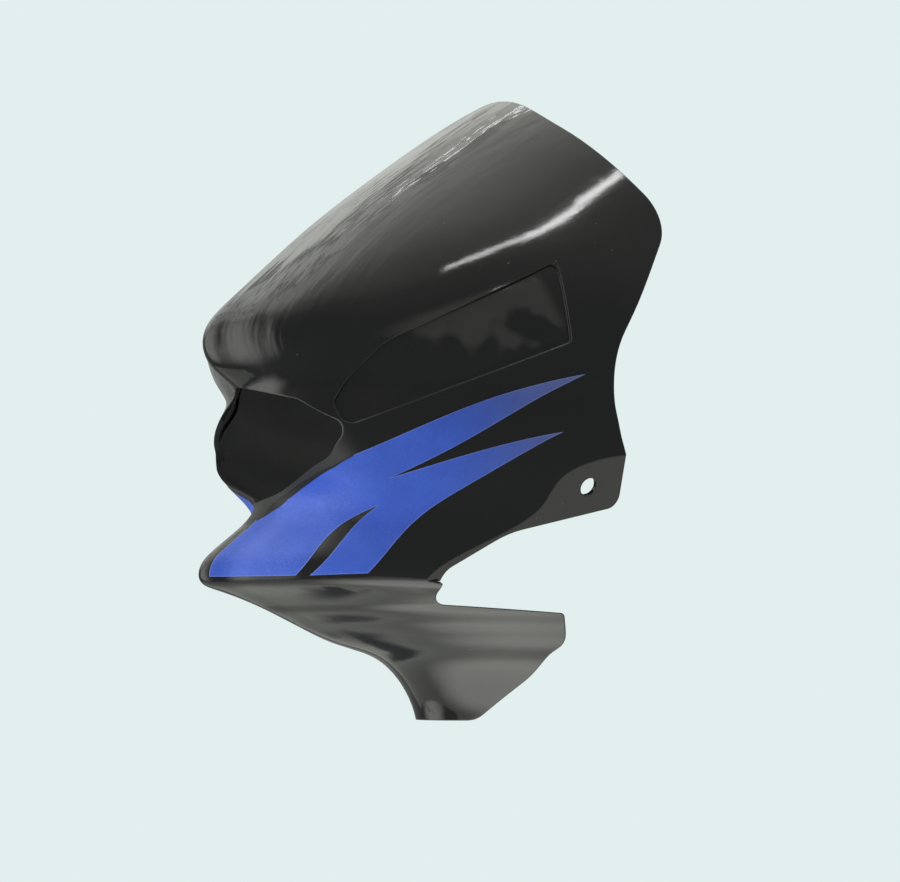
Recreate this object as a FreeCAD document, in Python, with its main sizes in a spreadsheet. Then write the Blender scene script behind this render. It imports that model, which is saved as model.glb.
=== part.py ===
import FreeCAD, Part
import math
import os

import Sketcher
from FreeCAD import Placement, Rotation, Vector

# Headlight visor of a motorbike: one moulded shell that carries the headlamp opening,
# with a striped vinyl film on each flank.  Millimetres; the front of the bike is -Y,
# up is +Z, the bike's left is +X.  The origin lies midway between the two screw holes.

doc = FreeCAD.newDocument("headlight_visor")
os.makedirs("parts", exist_ok=True)
sheet = doc.addObject("Spreadsheet::Sheet", "dims")
row = 0


def cell(alias, value, note=""):
    global row
    row += 1
    sheet.set("A%d" % row, alias)
    sheet.set("B%d" % row, str(value))
    sheet.set("C%d" % row, note)
    sheet.setAlias("B%d" % row, alias)


def val(alias):
    return float(sheet.get(alias))


# Driving sizes
cell("wall", 2.5, "wall of the shell")
cell("film", 0.25, "thickness of the stripe film")
cell("reach", 198.0, "plane in which every section ends, behind the rear edge")
cell("belt_round", 13.0, "length rounded on each side of the belt edge")
cell("prow_width", 45.0, "half width of the part of a section that is drawn out to a ridge")
cell("recess_depth", 1.8, "step of the side panel")
cell("hole_dia", 11.0, "screw hole, takes a grommet")
cell("hole_x", 117.0, "screw hole from the middle plane")
cell("flange_tilt", 29.5, "degrees that the side flange faces down")
cell("flange_drop", 64.0, "how far the flange runs below the hole")
cell("film_gap", 6.0, "bare strip between the middle plane and a film")

# Sections from the tongue up to the top of the screen: apex reach and height,
# downward tilt to the rear, half width, squareness, forward draw of the ridge
SECTIONS = (
    ("tongue", -33, -147, 0, 56, 2.2, 0),
    ("throat", -42, -116, 0, 70, 2.2, 2),
    ("keel", -60, -99, 0, 84, 2.2, 5),
    ("sump", -96, -88, 1, 100, 2.2, 10),
    ("valley", -143, -70, 1, 116, 2.2, 15),
    ("belt", -191, -56, 1, 130, 2.2, 19),
    ("chin", -182, -41, 1, 131, 2.25, 18),
    ("under_lip", -152, -8, 1.5, 133, 2.5, 12),
    ("corner", -168, 27, 2, 134, 2.9, 3),
    ("upper_lip", -165, 56, 3, 134, 2.5, 6),
    ("snout", -180, 67, 3, 134, 2.4, 13),
    ("nose", -188, 81, 4, 134, 2.35, 14),
    ("brow", -171, 110, 7, 134, 2.35, 9),
    ("shoulder", -123, 158, 15, 134, 2.35, 2),
    ("dome", -56, 217, 29, 132, 2.25, 0),
    ("screen", 1, 262, 42, 129, 2.2, 0),
    ("crown", 50, 292, 54, 126, 2.2, 0),
)
for name, y, z, tilt, width, square, prow in SECTIONS:
    cell(name + "_y", y, "apex, fore and aft")
    cell(name + "_z", z, "apex height")
    cell(name + "_tilt", tilt, "degrees")
    cell(name + "_half", width, "half width at the reach plane")
    cell(name + "_square", square, "squareness of the plan curve")
    cell(name + "_prow", prow, "forward draw of the ridge")

# Outlines as corner points with a rounding radius each
REAR_EDGE = (
    (-230, 310, 0), (9, 281, 5), (16, 244, 40), (74, 174, 30), (15, 77, 70), (17, 30, 40), (27, -9, 7),
    (-46, -28, 60), (-107, -66, 11), (-2, -71.5, 6), (18, -98, 22), (-14, -134, 10), (-230, -134, 0),
)
LAMP_EYE = (
    (0, 58, 12), (48, 45, 30), (79, 27, 7), (64, 12, 22), (0, -9, 8),
    (-64, 12, 22), (-79, 27, 7), (-48, 45, 30),
)
SIDE_PANEL = (
    (-142, 41, 6), (-119, 76, 40), (-14, 134, 3), (-11, 84, 4), (-140, 27, 5),
)
OUTLINES = (("rear", REAR_EDGE), ("eye", LAMP_EYE), ("panel", SIDE_PANEL))
for name, corners in OUTLINES:
    for i, (a, b, r) in enumerate(corners):
        cell("%s_a%d" % (name, i), a, "corner, across the outline")
        cell("%s_b%d" % (name, i), b, "corner, height")
        if r:
            cell("%s_r%d" % (name, i), r, "rounding of that corner")

# Stripe outline on the flank: lines, and arcs through the points named in BENDS
STRIPE = (
    ("fore_top", -211, -19), ("lip_front", -153, -19), ("lip_mid", -144, -5), ("lip_side", -141, 4),
    ("cheek", -133, 12), ("crest", -69, 44), ("upper_tip", -3, 65.5), ("upper_mid", -61, 33),
    ("slit_end", -112, 0.5), ("slit_mid", -71, 16), ("lower_tip", -22, 29.5), ("lower_mid", -75, -4),
    ("heel", -121, -52), ("slot_rear", -146, -53), ("slot_rear_mid", -127, -30),
    ("slot_end", -111.5, -13.5), ("slot_fore_mid", -134, -30), ("slot_fore", -151.5, -53),
    ("toe", -211, -52.5),
)
BENDS = ("crest", "upper_mid", "slit_mid", "lower_mid", "slot_rear_mid", "slot_fore_mid")
for name, a, b in STRIPE:
    cell("st_%s_y" % name, a, "stripe point, fore and aft")
    cell("st_%s_z" % name, b, "stripe point, height")

doc.recompute()

SIDE = Rotation(Vector(0, 1, 0), Vector(0, 0, 1), Vector(1, 0, 0), "XYZ")
FRONT = Rotation(Vector(1, 0, 0), Vector(0, 0, 1), Vector(0, -1, 0), "XYZ")


# Form of the moulding: a curve of apexes carries one rounded plan section at each height
def curves():
    """One pair of curves below the belt and one above it, with their length."""
    names = [section[0] for section in SECTIONS]
    belt = names.index("belt")
    made = []
    for part in (names[:belt + 1], names[belt:]):
        apex = [Vector(val(n + "_y"), val(n + "_z"), val(n + "_half")) for n in part]
        plan = [Vector(val(n + "_tilt"), val(n + "_square"), val(n + "_prow")) for n in part]
        steps = [0.0]
        for p, q in zip(apex, apex[1:]):
            steps.append(steps[-1] + math.hypot(q.x - p.x, q.y - p.y))
        pair = []
        for points in (apex, plan):
            curve = Part.BSplineCurve()
            curve.interpolate(Points=points, Parameters=steps)
            pair.append(curve)
        made.append((pair, steps[-1]))
    return made


def levels():
    """Section values from the tongue to the crown, with the belt edge rounded."""
    (low, low_end), (high, high_end) = curves()
    edge = val("belt_round")

    def at(pair, s):
        a, b = pair[0].value(s), pair[1].value(s)
        return [a.x, a.y, b.x, a.z, b.y, b.z]

    rows = [at(low, (low_end - edge) * i / 17.0) for i in range(18)]
    below, belt, above = rows[-1], at(low, low_end), at(high, edge)
    for t in (0.25, 0.5, 0.75):
        weights = ((1 - t) ** 2, 2 * t * (1 - t), t * t)
        rows.append([sum(w * v for w, v in zip(weights, trio)) for trio in zip(below, belt, above)])
    rows += [at(high, edge + (high_end - edge) * i / 44.0) for i in range(45)]
    return rows


def plan_curve(level, inset=0.0):
    """Points of one section, from the right rear round the front to the left rear."""
    y, z, tilt, half, square, prow = level
    tilt = math.radians(tilt)
    back = (val("reach") - y - prow) / math.cos(tilt) - inset
    points = []
    for i in range(-18, 19):
        turn = math.pi / 2 * i / 18.0
        s, c = math.sin(turn), max(math.cos(turn), 0.0)
        size = (abs(s) ** square + c ** square) ** (-1.0 / square)
        x = (half - inset) * size * s
        run = inset + back * (1 - size * c)
        ridge = prow * max(1 - abs(x) / val("prow_width"), 0.0) ** 2
        points.append(Vector(x, y + prow - ridge + run * math.cos(tilt), z - run * math.sin(tilt)))
    return points


def skin(grid):
    surface = Part.BSplineSurface()
    surface.interpolate(grid)
    return surface


LEVELS = levels()
OUTER = [plan_curve(level) for level in LEVELS]
OUTER_SKIN = skin(OUTER)


def inward(point):
    normal = OUTER_SKIN.normal(*OUTER_SKIN.parameter(point))
    towards = Vector(-point.x, val("reach") - point.y, 0)
    return normal if normal.dot(towards) > 0 else -normal


def bent(line):
    """Inward normals along one section, the right half as the mirror image of the left."""
    left = [inward(p) for p in line[len(line) // 2:]]
    return [Vector(-n.x, n.y, n.z) for n in reversed(left[1:])] + left


NORMALS = [bent(line) for line in OUTER]


def form(name, depth):
    """Closed solid inside the moulding's outer skin, the given depth below it."""
    grid = [[p + n * depth for p, n in zip(line, ways)] for line, ways in zip(OUTER, NORMALS)]
    grid[0] = plan_curve(LEVELS[0], depth)
    grid[-1] = plan_curve(LEVELS[-1], depth)
    for line, whole in zip(grid, OUTER):
        line[0] = whole[0] + Vector(depth, 0, 0)
        line[-1] = whole[-1] - Vector(depth, 0, 0)
    face = skin(grid).toShape()
    top, left, bottom, right = [None] * 4
    for edge in face.Edges:
        mid = edge.valueAt((edge.FirstParameter + edge.LastParameter) / 2.0)
        if abs(mid.y - val("reach")) < 0.5:
            left, right = (edge, right) if mid.x > 0 else (left, edge)
        elif mid.z > 0:
            top = edge
        else:
            bottom = edge
    chords = []
    for edge in (top, bottom):
        ends = [v.Point for v in edge.Vertexes]
        chords.append(Part.makeLine(ends[0], ends[-1]))
    faces = [face]
    faces.append(Part.Face(Part.Wire([top, chords[0]])))
    faces.append(Part.Face(Part.Wire([bottom, chords[1]])))
    faces.append(Part.Face(Part.Wire(Part.sortEdges([left, chords[0], right, chords[1]])[0])))
    shell = Part.makeShell(faces)
    shell.sewShape()
    solid = Part.makeSolid(shell)
    if solid.Volume < 0:
        solid.reverse()
    feature = doc.addObject("Part::Feature", name)
    feature.Shape = solid
    return feature


def polygon_body(name, corners, rotation, depth, middle=Vector(0, 0, 0)):
    """Pad on both sides of its sketch with the corners rounded."""
    body = doc.addObject("PartDesign::Body", name + "_body")
    sketch = body.newObject("Sketcher::SketchObject", name + "_sketch")
    sketch.Placement = Placement(middle, rotation)
    points = [Vector(a, b, 0) for a, b, r in corners]
    count = len(points)
    for i in range(count):
        sketch.addGeometry(Part.LineSegment(points[i], points[(i + 1) % count]), False)
    for i in range(count):
        sketch.addConstraint(Sketcher.Constraint("Coincident", i, 2, (i + 1) % count, 1))
    for i in range(count):
        for word, letter, value in (("DistanceX", "a", points[i].x), ("DistanceY", "b", points[i].y)):
            k = sketch.addConstraint(Sketcher.Constraint(word, -1, 1, i, 1, value))
            sketch.setExpression("Constraints[%d]" % k, "dims.%s_%s%d" % (name, letter, i))
    pad = body.newObject("PartDesign::Pad", name + "_pad")
    pad.Profile = sketch
    pad.Length = depth
    pad.SideType = "Symmetric"
    doc.recompute()
    last = pad
    for i, (a, b, r) in enumerate(corners):
        if not r:
            continue
        spot = middle + rotation.multVec(Vector(a, b, 0))
        line = rotation.multVec(Vector(0, 0, 1))
        found = None
        for k, edge in enumerate(last.Shape.Edges):
            ends = [v.Point - spot for v in edge.Vertexes]
            if len(ends) == 2 and all((e - line * e.dot(line)).Length < 1e-4 for e in ends):
                found = "Edge%d" % (k + 1)
        rounding = body.newObject("PartDesign::Fillet", "%s_round%d" % (name, i))
        rounding.Base = (last, [found])
        rounding.Radius = r
        rounding.setExpression("Radius", "dims.%s_r%d" % (name, i))
        doc.recompute()
        last = rounding
    return body


def boolean(kind, name, base, tool):
    feature = doc.addObject(kind, name)
    if kind == "Part::MultiFuse":
        feature.Shapes = [base, tool]
    else:
        feature.Base = base
        feature.Tool = tool
    doc.recompute()
    return feature


def mirrored(name, source):
    feature = doc.addObject("Part::Mirroring", name)
    feature.Source = source
    feature.Normal = Vector(1, 0, 0)
    feature.Base = Vector(0, 0, 0)
    doc.recompute()
    return feature


# Forms at the depths that the wall and the side panel need
outer = form("outer_form", 0.0)
inner = form("inner_form", val("wall"))
panel_face = form("panel_face_form", val("recess_depth"))
panel_back = form("panel_back_form", val("recess_depth") + val("wall"))
film_face = form("film_face_form", -val("film"))


# Flat flange on each side: what lies beyond its plane is taken off, inside and out
def flange_cutter(name, inset):
    lean = "(dims.flange_tilt * 1 deg)"
    box = doc.addObject("Part::Box", name)
    box.Length = 120
    box.Width = 400
    box.setExpression("Height", "dims.flange_drop + 90")
    box.Placement = Placement(Vector(0, -200, 0), Rotation(Vector(0, 1, 0), 0))
    box.setExpression("Placement.Rotation.Angle", lean)
    across = "dims.hole_x - %s * cos%s - dims.flange_drop * sin%s" % (inset, lean, lean)
    height = "%s * sin%s - dims.flange_drop * cos%s" % (inset, lean, lean)
    box.setExpression("Placement.Base.x", across)
    box.setExpression("Placement.Base.z", height)
    doc.recompute()
    return box


left_out = flange_cutter("left_flange_outside", "0")
left_in = flange_cutter("left_flange_inside", "dims.wall")
outer = boolean("Part::Cut", "left_flanged_outer", outer, left_out)
inner = boolean("Part::Cut", "left_flanged_inner", inner, left_in)
outer = boolean("Part::Cut", "right_flanged_outer", outer, mirrored("right_flange_outside", left_out))
inner = boolean("Part::Cut", "right_flanged_inner", inner, mirrored("right_flange_inside", left_in))

# Wall of the shell with the side panel stepped inwards
panel = polygon_body("panel", SIDE_PANEL, SIDE, 320)
panel_rim = doc.addObject("Part::Offset", "panel_rim")
panel_rim.Source = panel
panel_rim.Value = 2.5
panel_rim.setExpression("Value", "dims.wall")
doc.recompute()
wall = boolean("Part::Cut", "wall_body", outer, inner)
wall = boolean("Part::Cut", "wall_without_panel", wall, panel)
plate = boolean("Part::Cut", "panel_layer", panel_face, panel_back)
plate = boolean("Part::Common", "panel_plate", plate, panel_rim)
moulding = boolean("Part::MultiFuse", "moulding", wall, plate)

# Rear edge, headlamp opening and screw holes
rear = polygon_body("rear", REAR_EDGE, SIDE, 320)
moulding = boolean("Part::Common", "trimmed_moulding", moulding, rear)
eye = polygon_body("eye", LAMP_EYE, FRONT, 130, Vector(0, -176, 0))
moulding = boolean("Part::Cut", "opened_moulding", moulding, eye)
drill = doc.addObject("Part::Cylinder", "left_drill")
drill.setExpression("Radius", "dims.hole_dia / 2")
drill.Height = 60
drill.Placement = Placement(Vector(0, 0, 0), Rotation(Vector(0, 1, 0), 90))
drill.setExpression("Placement.Rotation.Angle", "90 deg + dims.flange_tilt * 1 deg")
drill.setExpression("Placement.Base.x", "dims.hole_x - 30 * cos(dims.flange_tilt * 1 deg)")
drill.setExpression("Placement.Base.z", "30 * sin(dims.flange_tilt * 1 deg)")
doc.recompute()
moulding = boolean("Part::Cut", "left_drilled", moulding, drill)
shell = boolean("Part::Cut", "visor_shell", moulding, mirrored("right_drill", drill))


# Stripe film on the left flank and its mirror image on the right
def stripe_body():
    body = doc.addObject("PartDesign::Body", "stripe_body")
    sketch = body.newObject("Sketcher::SketchObject", "stripe_sketch")
    sketch.Placement = Placement(Vector(0, 0, 0), SIDE)
    sketch.setExpression("Placement.Base.x", "dims.film_gap")
    spots = {name: Vector(a, b, 0) for name, a, b in STRIPE}
    path = [name for name, a, b in STRIPE]
    corners = [name for name in path if name not in BENDS]
    bend = {path[path.index(m) - 1]: m for m in BENDS}
    count = len(corners)
    ends = []
    for i, name in enumerate(corners):
        here, there = spots[name], spots[corners[(i + 1) % count]]
        if name in bend:
            arc = Part.Arc(here, spots[bend[name]], there)
            geo = sketch.addGeometry(arc, False)
            turned = (sketch.getPoint(geo, 1) - here).Length > 0.01
            ends.append((geo, 2, 1) if turned else (geo, 1, 2))
        else:
            geo = sketch.addGeometry(Part.LineSegment(here, there), False)
            ends.append((geo, 1, 2))
    for i in range(count):
        nxt = ends[(i + 1) % count]
        sketch.addConstraint(Sketcher.Constraint("Coincident", ends[i][0], ends[i][2], nxt[0], nxt[1]))

    def fix(geo, pos, name):
        for word, letter, value in (("DistanceX", "y", spots[name].x), ("DistanceY", "z", spots[name].y)):
            k = sketch.addConstraint(Sketcher.Constraint(word, -1, 1, geo, pos, value))
            sketch.setExpression("Constraints[%d]" % k, "dims.st_%s_%s" % (name, letter))

    for (geo, start, end), name in zip(ends, corners):
        fix(geo, start, name)
        if name in bend:
            dot = sketch.addGeometry(Part.Point(spots[bend[name]]), True)
            sketch.addConstraint(Sketcher.Constraint("PointOnObject", dot, 1, geo))
            fix(dot, 1, bend[name])
    pad = body.newObject("PartDesign::Pad", "stripe_pad")
    pad.Profile = sketch
    pad.Length = 150
    doc.recompute()
    return body


skin_layer = boolean("Part::Cut", "film_layer", film_face, doc.getObject("outer_form"))
left_film = boolean("Part::Common", "left_stripe", skin_layer, stripe_body())
right_film = mirrored("right_stripe", left_film)

# Check every object, then write one file for each sub-part
for thing in doc.Objects:
    if "Invalid" in thing.State or "Error" in thing.State:
        raise RuntimeError("%s did not compute" % thing.Name)
    if hasattr(thing, "Shape") and not thing.Shape.isValid():
        raise RuntimeError("%s has a bad shape" % thing.Name)
for node, feature in (("visor_shell", shell), ("left_stripe", left_film), ("right_stripe", right_film)):
    feature.Label = node
    if len(feature.Shape.Solids) != 1:
        raise RuntimeError("%s is not one solid" % node)
    feature.Shape.exportStep("parts/%s.step" % node)
    print(node, round(feature.Shape.Volume), feature.Shape.BoundBox)
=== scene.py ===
import math

import bmesh
import bpy
from bpy.props import FloatProperty, FloatVectorProperty, PointerProperty
from mathutils import Matrix, Vector

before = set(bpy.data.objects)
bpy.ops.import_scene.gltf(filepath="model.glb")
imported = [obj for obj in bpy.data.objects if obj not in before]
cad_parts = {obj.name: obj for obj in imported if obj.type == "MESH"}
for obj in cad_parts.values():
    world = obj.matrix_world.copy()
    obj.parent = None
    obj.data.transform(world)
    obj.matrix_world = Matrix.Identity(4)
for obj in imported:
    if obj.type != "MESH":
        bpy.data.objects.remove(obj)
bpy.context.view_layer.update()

bl_info = {
    "name": "Headlight visor",
    "version": (1, 0, 0),
    "blender": (4, 5, 0),
    "location": "View3D > Sidebar > Visor",
    "description": "Paint, plastic, striping film and studio for a motorbike headlight visor",
    "category": "Object",
}

PICTURE_WIDTH = 900

# Parts of the surface by height, in metres: where each begins, is full, fades and ends
FLANK_RISE = (-0.050, -0.020, 0.050, 0.120)
NOSE_RISE = (0.000, 0.020, 0.085, 0.130)
SILL_RISE = (-0.024, -0.020, 0.018, 0.034)
CREASE_RISE = (-0.0785, -0.0715, -0.0715, -0.0675)
THROAT_RISE = (-0.098, -0.0905, -0.0905, -0.083)
LUG_TOP = (0.018, 0.024)
LIP_TOP = (0.056, 0.076)
SCREEN_FOOT = (0.060, 0.095)

# Distances from the middle plane, in metres, over which one part of the surface gives way
FLANK_SIDE = (0.040, 0.080)
NOSE_SIDE = (0.055, 0.080)
SILL_SIDE = (0.066, 0.080)
SCREEN_SIDE = (0.050, 0.085)

# Side panel in its own slanted axes: cosine and sine of the slant, then, in metres, where
# the panel begins, is full, fades and ends
PANEL_SLANT = (0.915, 0.4035)
PANEL_RISE = (0.084, 0.088, 0.120, 0.127)
PANEL_RUN = (-0.09, -0.05, 0.020, 0.029)
# Painted sheen on the side panel: how fast the lighter patch grows upward and rearward, and where
# it sets in
SHEEN_UP, SHEEN_BACK, SHEEN_SHIFT = 4.0, 3.0, 0.34

# How far the shading of the flank is levelled, and how far nose, lip and throat lean
FLANK_LEVEL = 0.7
NOSE_LEAN, LIP_LEAN, THROAT_LEAN = 5.0, 6.0, 4.5
LIP_DROP, THROAT_PUSH = -0.12, -0.14

# Way that the face of a lug looks, without signs, and how nearly a face has to match it
LUG_WAY, LUG_MATCH = (0.870, 0.0, 0.492), (0.985, 0.995)

# Radii in metres within which an edge is lightened: rubbed paint and a painted highlight on the
# shell, a painted highlight along a film's cut edge
SHELL_EDGE, FILM_EDGE = 0.0012, 0.0009

# Noise patterns: grains per metre, detail and roughness
SWAY_NOISE = (16.0, 2.0)
LINE_NOISE = (62.0, 3.0, 0.55)
DENT_NOISE = (34.0, 2.0)
PEEL_NOISE = (700.0, 2.0)
SCUFF_NOISE = (260.0, 3.0, 0.7)
PATCH_NOISE = (22.0, 4.0, 0.6)
DUST_NOISE = (60.0, 2.0)
SHEEN_NOISE = (26.0, 2.0)
GRAIN_NOISE = (1400.0, 3.0, 0.6)
CLOUD_NOISE = (60.0, 5.0, 0.6)
FILM_NOISE = (900.0, 2.0)
FIBRE_NOISE = (300.0, 4.0, 0.6)
SHELF_NOISE = (9.0, 3.0, 0.55)
SPECKS_PER_METRE = 170.0

# Levels of a pattern over which a look sets in, and how strong it gets
SPECK_LEVEL = (0.05, 0.11)
DUST_LEVEL = (0.60, 0.68)
SCUFF_LEVEL = (0.55, 0.75)
SHEEN_LEVEL = (0.45, 0.53)
CLOUD_LEVEL = (0.30, 0.70)
FLAKE_LEVEL, FLAKE_SHARE = (0.70, 0.95), 0.45
PIT_LEVEL, PIT_SHARE = (0.04, 0.16), 0.35
GLINT_LEVEL = (0.8, 1.0)
METAL_LEVEL, METAL_SHARE = (0.6, 0.95), 0.25
SHELF_LEVEL = (0.52, 0.60)

# Cosines of the angle between two ways over which a look sets in
OUTSIDE_TURN = (-0.02, 0.02)
WORN_AND_HIGHLIT_TURN = (0.80, 0.985)
HIGHLIGHT_TURN, HIGHLIGHT_SHARE = (0.90, 0.995), 0.5

# Dark and pale tones of a mottled colour, as shares of it, and strengths of fine relief
PAINT_TONES, PLASTIC_TONES = (0.8, 1.3), (0.7, 1.4)
PAINT_RELIEF, FILM_RELIEF = 0.35, 0.25
SATIN_SHINE = 0.35

# Stretch of a pattern along the visor, and a turn in radians
SWAY_STRETCH = (1.0, 0.45, 0.45)
LINE_STRETCH = (1.0, 0.13, 0.13)
SCUFF_STRETCH, SCUFF_TURN = (3.0, 0.25, 0.25), (0.5, 0.0, 0.0)

# Roughness: even part, then what a pattern adds or takes
SATIN_ROUGH, SATIN_PATCHES = 0.45, 0.16
GLOSS_SCUFFS, GLOSS_DUST = 0.06, 0.3
FILM_ROUGH, FILM_CLOUD, FILM_FLAKES, BORDER_ROUGH = 0.36, 0.10, 0.06, 0.5

# Blue field of a film: its upper edge as shares of width and height, then sizes in metres
FIELD_EDGE = (
    (0.09, 0.01), (0.14, 0.11), (0.25, 0.24), (0.40, 0.34),
    (0.57, 0.43), (0.77, 0.53), (0.92, 0.63), (1.0, 0.75),
)
FIELD_WIDTH, FIELD_HEIGHT, FIELD_FOOT = 0.08, 0.05, -0.02
FIELD_BLUR, FIELD_END, FADE_RUN = (-0.0002, 0.0002), (0.075, 0.079), (-0.096, 0.0)

# Room light by direction: from the floor's side up to the ceiling, then the ways of two glows
ROOM_STOPS = (
    (0.00, (0.30, 0.31, 0.31)), (0.52, (0.24, 0.25, 0.25)), (0.66, (0.28, 0.29, 0.28)),
    (0.76, (0.38, 0.39, 0.37)), (0.87, (0.82, 0.84, 0.79)), (0.94, (1.35, 1.37, 1.29)),
    (1.00, (1.75, 1.77, 1.66)),
)
FRONT_WAY, FRONT_SPREAD, FRONT_GLOW = (-0.225, -0.973, -0.060), (0.78, 0.995), (2.90, 2.95, 2.83)
FAR_WAY, FAR_SPREAD, FAR_GLOW = (-0.492, -0.413, 0.766), (0.78, 0.97), (2.30, 2.34, 2.22)
FAR_SIDE, FRONT_SQUASH = (-0.40, 0.0), (1.0, 1.0, 0.5)
SHELF_SHADE, SHELF_SHARE = (0.30, 0.31, 0.30), 0.6
CEILING_TILT = 0.35

# Floor: paper, lit patch and mat, the distances in metres over which they end, and its place
PAPER_LOW, PAPER_HIGH = (0.80, 0.81, 0.78), (0.85, 0.86, 0.83)
TABLE_LIGHT, LIGHT_END = (0.86, 0.87, 0.82), (0.14, 0.36)
MAT_CLOTH, MAT_END = (0.14, 0.14, 0.16), (0.065, 0.12)
SHADOW_TRACE, SHADOW_END = 0.15, (0.20, 0.50)
FLOOR_HALF, FLOOR_BACK = 0.62, 0.22

# Lamps: name, then start, end, point looked at and width in metres, then brightness. The first
# two are lengths of one tube over the near side
TUBE_AIM = (0.09, 0.0, 0.15)
LAMPS = (
    ("tube_front", (1.46, -0.25, 1.87), (1.46, 0.45, 2.20), TUBE_AIM, 0.065, 11.0),
    ("tube_rear", (1.46, 0.45, 2.20), (1.46, 1.05, 2.48), TUBE_AIM, 0.09, 14.0),
    ("far_strip", (-0.80, -0.20, 2.42), (-0.74, 0.60, 2.45), (0.0, 0.0, 0.20), 0.03, 8.0),
    ("soft_key", (1.45, -0.58, 0.37), (0.95, -1.08, 0.37), (0.09, -0.08, 0.0), 0.70, 2.2),
)


class Socket:
    """A shader socket that takes part in Python sums."""

    def __init__(self, tree, link):
        self.tree = tree
        self.link = link

    def math(self, operation, *others):
        return self.tree.math(operation, self, *others)

    def __add__(self, other):
        return self.math("ADD", other)

    def __sub__(self, other):
        return self.math("SUBTRACT", other)

    def __rsub__(self, other):
        return self.tree.math("SUBTRACT", other, self)

    def __mul__(self, other):
        return self.math("MULTIPLY", other)

    def __truediv__(self, other):
        return self.math("DIVIDE", other)

    __radd__ = __add__
    __rmul__ = __mul__

    def size(self):
        return self.math("ABSOLUTE")

    def between(self, low, high):
        """0 below low and 1 above high, with a soft change in between."""
        settings = {"interpolation_type": "SMOOTHSTEP"}
        ends = {"From Min": low, "From Max": high}
        return self.tree.node("ShaderNodeMapRange", settings, Value=self, **ends)

    def within(self, begins, full, fades, ends):
        """1 between full and fades, and 0 before it begins and after it ends."""
        return self.between(begins, full) * (1 - self.between(fades, ends))


def by_place(values):
    """Names a node's inputs by their place: _0, _1 and so on."""
    return {f"_{place}": value for place, value in enumerate(values)}


class Tree:
    """A node tree that is emptied and filled by code."""

    def __init__(self, owner):
        owner.use_nodes = True
        self.nodes = owner.node_tree.nodes
        self.links = owner.node_tree.links
        self.nodes.clear()

    def node(self, kind, settings=None, out=0, **inputs):
        """Adds a node, sets it up, fills its inputs and returns one of its outputs."""
        made = self.nodes.new(kind)
        for key, value in (settings or {}).items():
            if key == "stops":
                self.ramp(made.color_ramp, value)
            else:
                setattr(made, key, value)
        for key, value in inputs.items():
            slot = made.inputs[int(key[1:])] if key[0] == "_" else made.inputs[key]
            self.fill(slot, value)
        return Socket(self, made.outputs[out]) if len(made.outputs) else made

    def fill(self, slot, value):
        if isinstance(value, Socket):
            self.links.new(value.link, slot)
        else:
            slot.default_value = value

    def ramp(self, ramp, stops):
        while len(ramp.elements) < len(stops):
            ramp.elements.new(1.0)
        for element, (place, colour) in zip(ramp.elements, stops):
            element.position = place
            element.color = (*colour, 1.0)

    def math(self, operation, *values):
        return self.node("ShaderNodeMath", {"operation": operation}, **by_place(values))

    def vector(self, operation, *values, out=0):
        settings = {"operation": operation}
        return self.node("ShaderNodeVectorMath", settings, out, **by_place(values))

    def blend(self, factor, first, second):
        """Colour between first and second."""
        settings = {"data_type": "RGBA"}
        return self.node("ShaderNodeMix", settings, "Result", _0=factor, _6=first, _7=second)

    def place(self):
        return self.node("ShaderNodeTexCoord", out="Object")

    def axis(self, vector, letter):
        return self.node("ShaderNodeSeparateXYZ", None, letter, Vector=vector)

    def join(self, x, y, z):
        return self.node("ShaderNodeCombineXYZ", None, X=x, Y=y, Z=z)

    def dot(self, first, second):
        return self.vector("DOT_PRODUCT", first, second, out="Value")

    def noise(self, place, scale, detail=3.0, rough=0.5):
        inputs = {"Vector": place, "Scale": scale, "Detail": detail, "Roughness": rough}
        return self.node("ShaderNodeTexNoise", None, "Fac", **inputs)

    def cells(self, place, scale, out="Distance"):
        return self.node("ShaderNodeTexVoronoi", None, out, Vector=place, Scale=scale)

    def stretched(self, place, stretch, turn=(0.0, 0.0, 0.0)):
        return self.node("ShaderNodeMapping", None, Vector=place, Scale=stretch, Rotation=turn)

    def principled(self, **inputs):
        return self.node("ShaderNodeBsdfPrincipled", None, **inputs)

    def surface(self, shader):
        self.node("ShaderNodeOutputMaterial", None, Surface=shader)

    def calmed(self, normal, across, height):
        """Normal levelled over the flank, and leaned outward under the nose and at the throat."""
        side = across.size()
        flank = height.within(*FLANK_RISE) * side.between(*FLANK_SIDE)
        flange = self.dot(self.vector("ABSOLUTE", normal), LUG_WAY).between(*LUG_MATCH)
        lug = flange * (1 - height.between(*LUG_TOP))
        nose = height.within(*NOSE_RISE) * (1 - side.between(*NOSE_SIDE))
        lip = nose * (1 - height.between(*LIP_TOP))
        throat = height.within(*THROAT_RISE)
        level = self.join(1.0, 1.0, 1 - flank * (1 - lug) * FLANK_LEVEL)
        out = across * (nose * NOSE_LEAN + lip * LIP_LEAN + throat * THROAT_LEAN)
        lean = self.join(out, throat * THROAT_PUSH, lip * LIP_DROP)
        levelled = self.vector("MULTIPLY", normal, level)
        return self.vector("NORMALIZE", self.vector("ADD", levelled, lean))

    def bump(self, height, strength, distance, normal=None):
        inputs = {"Height": height, "Strength": strength, "Distance": distance}
        if normal is not None:
            inputs["Normal"] = normal
        return self.node("ShaderNodeBump", None, **inputs)


def rgba(colour, share=1.0):
    return (*(channel * share for channel in colour), 1.0)


def put_on(obj, material):
    obj.data.materials.clear()
    obj.data.materials.append(material)
    for face in obj.data.polygons:
        face.material_index = 0


def new_object(name, data):
    obj = bpy.data.objects.new(name, data)
    bpy.context.scene.collection.objects.link(obj)
    return obj


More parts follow.
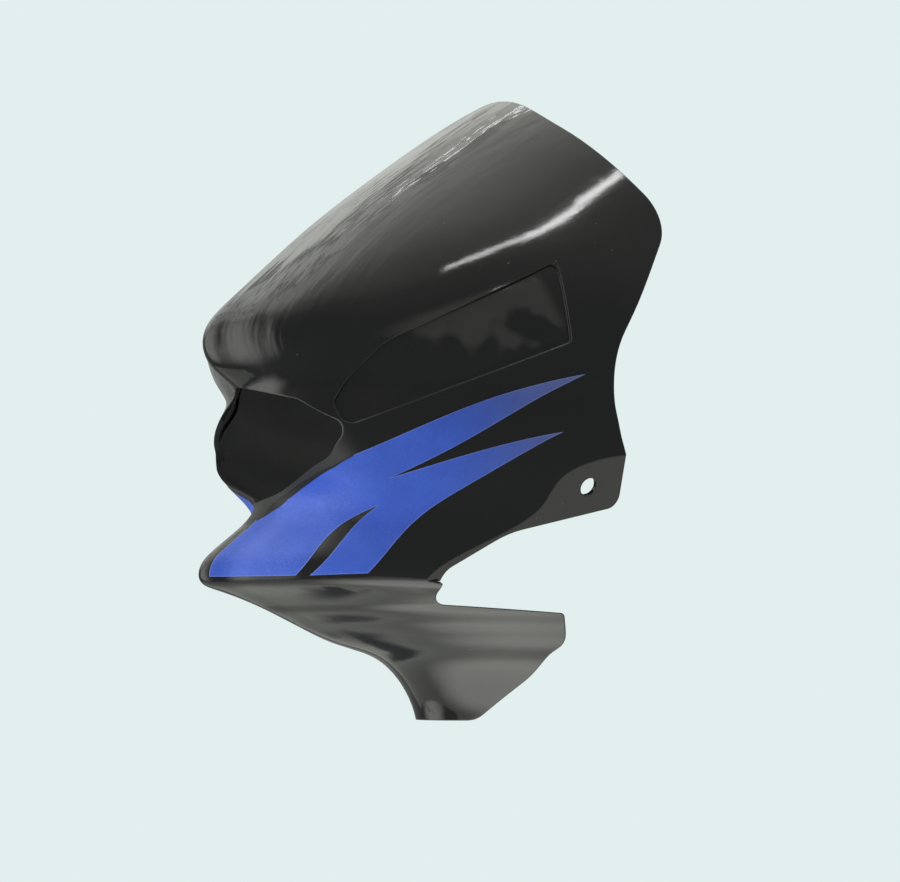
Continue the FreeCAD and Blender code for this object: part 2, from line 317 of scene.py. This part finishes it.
class ShellFinish(bpy.types.PropertyGroup):
    """Paint outside and bare plastic inside."""

    paint: FloatVectorProperty(
        name="Paint", description="Gloss black of the outside",
        subtype="COLOR", default=(0.0060, 0.0062, 0.0060))
    # Pale grey of the dust specks, also the colour of the rubbed edges with their painted
    # highlight and of the painted sheen on the side panel
    dust: FloatVectorProperty(
        name="Dust", description="Colour of dust specks and rubbed edges",
        subtype="COLOR", default=(0.20, 0.20, 0.19))
    plastic: FloatVectorProperty(
        name="Plastic", description="Bare plastic of the inside",
        subtype="COLOR", default=(0.0240, 0.0252, 0.0246))
    gloss: FloatProperty(
        name="Gloss", description="Roughness of clean paint", default=0.07, min=0.0, max=1.0)
    peel: FloatProperty(
        name="Orange peel", description="Height of the paint's orange peel",
        default=0.00003, unit="LENGTH")
    sway: FloatProperty(
        name="Mould sway", description="Height of the slow waves in the wall",
        default=0.00012, unit="LENGTH")
    lines: FloatProperty(
        name="Flow lines", description="Height of the lengthwise lines on the screen",
        default=0.0016, unit="LENGTH")
    dents: FloatProperty(
        name="Panel waves", description="Height of the waves in the side panel",
        default=0.0012, unit="LENGTH")
    crease: FloatProperty(
        name="Hull crease", description="Height of the crease along the hull",
        default=0.0008, unit="LENGTH")
    dusting: FloatProperty(
        name="Dusting", description="How far the specks of dust cover the paint",
        subtype="FACTOR", default=0.35, min=0.0, max=1.0)
    # Painted sheen: a lighter patch on the side panel, in the dust colour, that stands in for a
    # reflection
    panel_sheen: FloatProperty(
        name="Haze", description="How far haze covers the side panel",
        subtype="FACTOR", default=0.12, min=0.0, max=1.0)
    # Lightens the edges in the dust colour: rubbed paint, and a painted highlight where a rounded
    # edge would catch light
    wear_and_highlight: FloatProperty(
        name="Wear", description="How far the edges are rubbed",
        subtype="FACTOR", default=0.20, min=0.0, max=1.0)
    middle: FloatVectorProperty(
        name="Middle", description="Point inside the shell that the inner faces look at",
        subtype="TRANSLATION", unit="LENGTH", default=(0.0, 0.034, 0.06))


class StripeFinish(bpy.types.PropertyGroup):
    """Metallic striping film."""

    blue: FloatVectorProperty(
        name="Blue", description="Main colour of the film",
        subtype="COLOR", default=(0.042, 0.108, 0.540))
    deep: FloatVectorProperty(
        name="Deep blue", description="Colour between the flakes",
        subtype="COLOR", default=(0.035, 0.090, 0.470))
    flake: FloatVectorProperty(
        name="Flake", description="Colour of the bright flakes",
        subtype="COLOR", default=(0.100, 0.150, 0.640))
    # Painted highlight: the pale line along the film's cut edge stands in for light caught by the
    # edge
    edge_highlight: FloatVectorProperty(
        name="Hairline", description="Cut edge of the film",
        subtype="COLOR", default=(0.26, 0.30, 0.60))
    faded: FloatVectorProperty(
        name="Faded blue", description="Colour towards the rear tips",
        subtype="COLOR", default=(0.110, 0.122, 0.195))
    fade: FloatProperty(
        name="Fade", description="How far the film fades towards the rear tips",
        subtype="FACTOR", default=0.75, min=0.0, max=1.0)
    border: FloatVectorProperty(
        name="Border", description="Black strip along the headlamp opening", subtype="COLOR",
        default=(0.0060, 0.0062, 0.0060))
    flake_size: FloatProperty(
        name="Flake size", description="Distance between flakes", default=0.0006, unit="LENGTH")
    peel: FloatProperty(
        name="Film grain", description="Height of the film's fine grain",
        default=0.00003, unit="LENGTH")


class StudioSetup(bpy.types.PropertyGroup):
    """Floor, lamps and camera."""

    backdrop: FloatVectorProperty(
        name="Backdrop", description="Pale colour of floor and background", subtype="COLOR",
        default=(0.760, 0.863, 0.855))
    floor_drop: FloatProperty(
        name="Floor", description="Height of the floor under the screw line",
        default=-0.46, unit="LENGTH")
    table_lamp: FloatVectorProperty(
        name="Table lamp", description="Middle of the lit part of the floor",
        size=2, unit="LENGTH",
        default=(0.23, -0.03))
    table_mat: FloatVectorProperty(
        name="Table mat", description="Middle of the dark mat on the floor",
        size=2, unit="LENGTH",
        default=(-0.29, 0.095))
    table_glow: FloatProperty(
        name="Table glow", description="Brightness of the lit part of the floor", default=3.0)
    distance: FloatProperty(
        name="Distance", description="Camera to the point it looks at",
        default=0.95, unit="LENGTH")
    azimuth: FloatProperty(
        name="Azimuth", description="Camera angle round from the front",
        subtype="ANGLE", default=math.radians(54.0))
    elevation: FloatProperty(
        name="Elevation", description="Camera angle above level",
        subtype="ANGLE", default=math.radians(-9.0))
    target: FloatVectorProperty(
        name="Target", description="Point the camera looks at",
        subtype="TRANSLATION", unit="LENGTH",
        default=(0.0, -0.0135, 0.0405))
    magnify: FloatProperty(
        name="Pixels per metre", description="Picture scale at the target", default=1570.0)


def paint_material(finish):
    """Gloss black paint outside, satin plastic inside, told apart by the way a face looks."""
    material = bpy.data.materials.new("gloss_black_paint")
    tree = Tree(material)
    place = tree.place()
    across, along, height = (tree.axis(place, letter) for letter in "XYZ")
    normal = tree.node("ShaderNodeNewGeometry", out="True Normal")
    outward = tree.vector("NORMALIZE", tree.vector("SUBTRACT", place, tuple(finish.middle)))
    outside = tree.dot(outward, normal).between(*OUTSIDE_TURN)
    side = across.size()
    sill = height.within(*SILL_RISE) * (1 - side.between(*SILL_SIDE))

    on_screen = (1 - side.between(*SCREEN_SIDE)) * height.between(*SCREEN_FOOT)
    cosine, sine = PANEL_SLANT
    up_panel = height * cosine - along * sine
    down_panel = along * cosine + height * sine
    on_panel = up_panel.within(*PANEL_RISE) * down_panel.within(*PANEL_RUN)
    sway = tree.noise(tree.stretched(place, SWAY_STRETCH), *SWAY_NOISE)
    lines = tree.noise(tree.stretched(place, LINE_STRETCH), *LINE_NOISE)
    dents = tree.noise(place, *DENT_NOISE)
    crease = height.within(*CREASE_RISE)
    waves = sway * finish.sway + lines * on_screen * finish.lines
    waves = waves + dents * on_panel * finish.dents + crease * finish.crease
    peel = tree.noise(place, *PEEL_NOISE)

    scuffs = tree.noise(tree.stretched(place, SCUFF_STRETCH, SCUFF_TURN), *SCUFF_NOISE)
    patches = tree.noise(place, *PATCH_NOISE)
    specks = 1 - tree.cells(place, SPECKS_PER_METRE).between(*SPECK_LEVEL)
    dust = specks * tree.noise(place, *DUST_NOISE).between(*DUST_LEVEL)
    edge_normal = tree.node("ShaderNodeBevel", {"samples": 4}, Radius=SHELL_EDGE)
    # Edges lightened in the dust colour, partly rubbed paint and partly a painted highlight along
    # the rounded edge
    worn_and_highlit = 1 - tree.dot(edge_normal, normal).between(*WORN_AND_HIGHLIT_TURN)

    mottle = tree.blend(patches, *(rgba(finish.paint, tone) for tone in PAINT_TONES))
    dusty = tree.blend(dust * finish.dusting, mottle, rgba(finish.dust))
    # Painted sheen on the side panel: a lighter patch that grows towards its top and rear and
    # stands in for a reflection
    sheen_field = tree.noise(place, *SHEEN_NOISE) + down_panel * SHEEN_BACK + up_panel * SHEEN_UP
    panel_sheen = on_panel * (sheen_field - SHEEN_SHIFT).between(*SHEEN_LEVEL) * finish.panel_sheen
    sheened = tree.blend(panel_sheen, dusty, rgba(finish.dust))
    edges_lightened = tree.blend(worn_and_highlit * finish.wear_and_highlight, sheened, rgba(finish.dust))
    rough = finish.gloss + scuffs.between(*SCUFF_LEVEL) * GLOSS_SCUFFS + dust * GLOSS_DUST
    calm = tree.calmed(edge_normal, across, height)
    skin = tree.bump(peel, PAINT_RELIEF, finish.peel, tree.bump(waves, 1.0, 1.0, calm))
    gloss = tree.principled(Roughness=rough, Normal=skin, IOR=1.5, **{"Base Color": edges_lightened})

    grain = tree.noise(place, *GRAIN_NOISE)
    bare = tree.blend(grain, *(rgba(finish.plastic, tone) for tone in PLASTIC_TONES))
    tooth = tree.bump(grain, PAINT_RELIEF, finish.peel)
    look = {"Base Color": bare, "Specular IOR Level": SATIN_SHINE}
    satin = tree.principled(Roughness=SATIN_ROUGH + patches * SATIN_PATCHES, Normal=tooth, **look)
    painted = outside * (1 - sill)
    tree.surface(tree.node("ShaderNodeMixShader", None, _0=painted, _1=satin, _2=gloss))
    return material


def film_material(finish):
    """Blue cast film: a coat of fine flakes, a painted highlight along its cut edge and a slight
    fade to the rear.
    """
    material = bpy.data.materials.new("blue_film")
    tree = Tree(material)
    place = tree.place()
    across, along, height = (tree.axis(place, letter) for letter in "XYZ")
    side = across.size()
    cells = tree.cells(place, 1.0 / finish.flake_size, "Color")
    tint = tree.node("ShaderNodeSeparateColor", None, "Red", Color=cells)
    cloud = tree.noise(place, *CLOUD_NOISE)
    rear = along.between(*FADE_RUN)
    normal = tree.node("ShaderNodeNewGeometry", out="True Normal")
    edge_normal = tree.node("ShaderNodeBevel", {"samples": 6}, Radius=FILM_EDGE)

    stops = [(at, (level, level, level)) for at, level in FIELD_EDGE]
    line = tree.node("ShaderNodeValToRGB", {"stops": stops}, "Color", Fac=side / FIELD_WIDTH)
    over = height - (tree.axis(line, "X") * FIELD_HEIGHT + FIELD_FOOT)
    border = over.between(*FIELD_BLUR) * (1 - side.between(*FIELD_END))
    # Painted highlight along the film's cut edge, where the rounded normal turns away from the
    # true one
    edge = (1 - tree.dot(edge_normal, normal).between(*HIGHLIGHT_TURN)) * (1 - border)

    ground = tree.blend(cloud.between(*CLOUD_LEVEL), rgba(finish.deep), rgba(finish.blue))
    flakes = tree.blend(tint.between(*FLAKE_LEVEL) * FLAKE_SHARE, ground, rgba(finish.flake))
    pits = tree.blend((1 - tint.between(*PIT_LEVEL)) * PIT_SHARE, flakes, rgba(finish.deep))
    faded = tree.blend(rear * finish.fade, pits, rgba(finish.faded))
    edge_highlighted = tree.blend(edge * HIGHLIGHT_SHARE, faded, rgba(finish.edge_highlight))
    colour = tree.blend(border, edge_highlighted, rgba(finish.border))

    rough = FILM_ROUGH + cloud * FILM_CLOUD - tint.between(*GLINT_LEVEL) * FILM_FLAKES
    rough = rough * (1 - border) + border * BORDER_ROUGH
    metal = tint.between(*METAL_LEVEL) * (1 - border) * METAL_SHARE
    calm = tree.calmed(normal, across, height)
    skin = tree.bump(tree.noise(place, *FILM_NOISE), FILM_RELIEF, finish.peel, calm)
    look = {"Base Color": colour, "Specular IOR Level": SATIN_SHINE}
    tree.surface(tree.principled(Roughness=rough, Metallic=metal, Normal=skin, **look))
    return material


def floor_material(setup):
    """Pale light table. The camera sees its plain colour with a trace of the shadow on it."""
    material = bpy.data.materials.new("pale_paper")
    tree = Tree(material)
    place = tree.place()
    fibre = tree.noise(place, *FIBRE_NOISE)
    paper = tree.blend(fibre, rgba(PAPER_LOW), rgba(PAPER_HIGH))
    from_lamp, from_mat, from_part = (
        tree.vector("DISTANCE", place, (*spot, setup.floor_drop), out="Value")
        for spot in (setup.table_lamp, setup.table_mat, (0.0, 0.0)))
    lamp = tree.blend(from_lamp.between(*LIGHT_END), rgba(TABLE_LIGHT), (0.0, 0.0, 0.0, 1.0))
    cloth = tree.blend(from_mat.between(*MAT_END), rgba(MAT_CLOTH), paper)
    look = {"Roughness": 0.9, "Specular IOR Level": 0.1}
    glow = {"Base Color": cloth, "Emission Color": lamp, "Emission Strength": setup.table_glow}
    glowing = tree.principled(**look, **glow)
    lit = tree.principled(**look, **{"Base Color": paper})
    plain = tree.node("ShaderNodeEmission", None, Color=rgba(setup.backdrop))
    share = from_part.between(*SHADOW_END) * SHADOW_TRACE + (1 - SHADOW_TRACE)
    seen = tree.node("ShaderNodeMixShader", None, _0=share, _1=lit, _2=plain)
    camera = tree.node("ShaderNodeLightPath", out="Is Camera Ray")
    tree.surface(tree.node("ShaderNodeMixShader", None, _0=camera, _1=glowing, _2=seen))
    return material


def room_light(setup):
    """Pale ceiling, soft glows in front and on the far side, and the backdrop for the camera."""
    world = bpy.data.worlds.new("studio_room")
    bpy.context.scene.world = world
    tree = Tree(world)
    way = tree.node("ShaderNodeTexCoord", out="Generated")
    rise = (tree.axis(way, "Z") - tree.axis(way, "X") * CEILING_TILT) * 0.5 + 0.5
    room = tree.node("ShaderNodeValToRGB", {"stops": ROOM_STOPS}, "Color", Fac=rise)
    squashed = tree.vector("NORMALIZE", tree.vector("MULTIPLY", way, FRONT_SQUASH))
    front = tree.dot(squashed, FRONT_WAY).between(*FRONT_SPREAD)
    far = tree.dot(way, FAR_WAY).between(*FAR_SPREAD)
    glows = tree.blend(far, tree.blend(front, room, rgba(FRONT_GLOW)), rgba(FAR_GLOW))
    far_side = 1 - tree.axis(way, "X").between(*FAR_SIDE)
    shelves = tree.noise(way, *SHELF_NOISE).between(*SHELF_LEVEL) * far_side
    filled = tree.blend(shelves * SHELF_SHARE, glows, rgba(SHELF_SHADE))
    camera = tree.node("ShaderNodeLightPath", out="Is Camera Ray")
    colour = tree.blend(camera, filled, rgba(setup.backdrop))
    background = tree.node("ShaderNodeBackground", None, Color=colour, Strength=1.0)
    tree.node("ShaderNodeOutputWorld", None, Surface=background)


def strip_lamp(name, start, end, look_at, width, glow):
    """A long lamp of an even glow between two points. It isn't in the camera's view."""
    start, end = Vector(start), Vector(end)
    lamp = bpy.data.lights.new(name, "AREA")
    lamp.shape = "RECTANGLE"
    lamp.size, lamp.size_y = (end - start).length, width
    lamp.energy = glow * math.pi * lamp.size * lamp.size_y
    along = (end - start).normalized()
    middle = (start + end) / 2
    back = middle - Vector(look_at)
    back = (back - along * back.dot(along)).normalized()
    obj = new_object(name, lamp)
    turn = Matrix((along, back.cross(along), back)).transposed().to_4x4()
    obj.matrix_world = Matrix.Translation(middle) @ turn
    obj.visible_camera = False
    return obj


class VISOR_OT_shell(bpy.types.Operator):
    """Paints the moulded shell outside and leaves it bare inside"""

    bl_idname = "visor.shell"
    bl_label = "Shell"

    def execute(self, context):
        put_on(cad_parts["visor_shell"], paint_material(context.scene.visor_shell))
        return {"FINISHED"}


class VISOR_OT_stripes(bpy.types.Operator):
    """Gives both striping films their metallic blue"""

    bl_idname = "visor.stripes"
    bl_label = "Stripes"

    def execute(self, context):
        film = film_material(context.scene.visor_stripes)
        for node in ("left_stripe", "right_stripe"):
            put_on(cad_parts[node], film)
        return {"FINISHED"}


class VISOR_OT_studio(bpy.types.Operator):
    """Sets out floor, room light, lamps and camera"""

    bl_idname = "visor.studio"
    bl_label = "Studio"

    def execute(self, context):
        setup = context.scene.visor_studio
        self.floor(setup)
        room_light(setup)
        self.lamps()
        self.camera(setup)
        context.scene.view_settings.view_transform = "Standard"
        return {"FINISHED"}

    def floor(self, setup):
        bm = bmesh.new()
        bmesh.ops.create_grid(bm, x_segments=4, y_segments=4, size=FLOOR_HALF)
        bmesh.ops.translate(bm, verts=bm.verts, vec=(0.0, FLOOR_BACK, setup.floor_drop))
        mesh = bpy.data.meshes.new("floor")
        bm.to_mesh(mesh)
        bm.free()
        obj = new_object("floor", mesh)
        put_on(obj, floor_material(setup))

    def lamps(self):
        lamps = {name: strip_lamp(name, *rest) for name, *rest in LAMPS}
        lamps["soft_key"].visible_glossy = False

    def camera(self, setup):
        cam = bpy.data.cameras.new("camera")
        cam.sensor_fit = "HORIZONTAL"
        cam.lens = cam.sensor_width * setup.magnify * setup.distance / PICTURE_WIDTH
        cam.clip_end = 50.0
        obj = new_object("camera", cam)
        azimuth, elevation = setup.azimuth, setup.elevation
        level = math.cos(elevation)
        away = Vector((math.sin(azimuth) * level, -math.cos(azimuth) * level, math.sin(elevation)))
        obj.location = Vector(setup.target) + away * setup.distance
        obj.rotation_euler = away.to_track_quat("Z", "Y").to_euler()
        bpy.context.scene.camera = obj


class VISOR_PT_sidebar(bpy.types.Panel):
    """Lists the visor's pieces and their settings"""

    bl_idname = "VISOR_PT_sidebar"
    bl_label = "Headlight visor"
    bl_space_type = "VIEW_3D"
    bl_region_type = "UI"
    bl_category = "Visor"

    def draw(self, context):
        for group, _, operator in GROUPS:
            column = self.layout.column(align=True)
            column.operator(operator.bl_idname)
            settings = getattr(context.scene, group)
            for name in settings.bl_rna.properties.keys():
                if name not in ("name", "rna_type"):
                    column.prop(settings, name)


GROUPS = (
    ("visor_shell", ShellFinish, VISOR_OT_shell),
    ("visor_stripes", StripeFinish, VISOR_OT_stripes),
    ("visor_studio", StudioSetup, VISOR_OT_studio),
)
CLASSES = (*(cls for _, *pair in GROUPS for cls in pair), VISOR_PT_sidebar)


def register():
    for cls in CLASSES:
        bpy.utils.register_class(cls)
    for group, settings, _ in GROUPS:
        setattr(bpy.types.Scene, group, PointerProperty(type=settings))


def unregister():
    for group, _, _ in GROUPS:
        delattr(bpy.types.Scene, group)
    for cls in reversed(CLASSES):
        bpy.utils.unregister_class(cls)


def main():
    register()
    bpy.ops.visor.shell()
    bpy.ops.visor.stripes()
    bpy.ops.visor.studio()


if __name__ == "__main__":
    main()
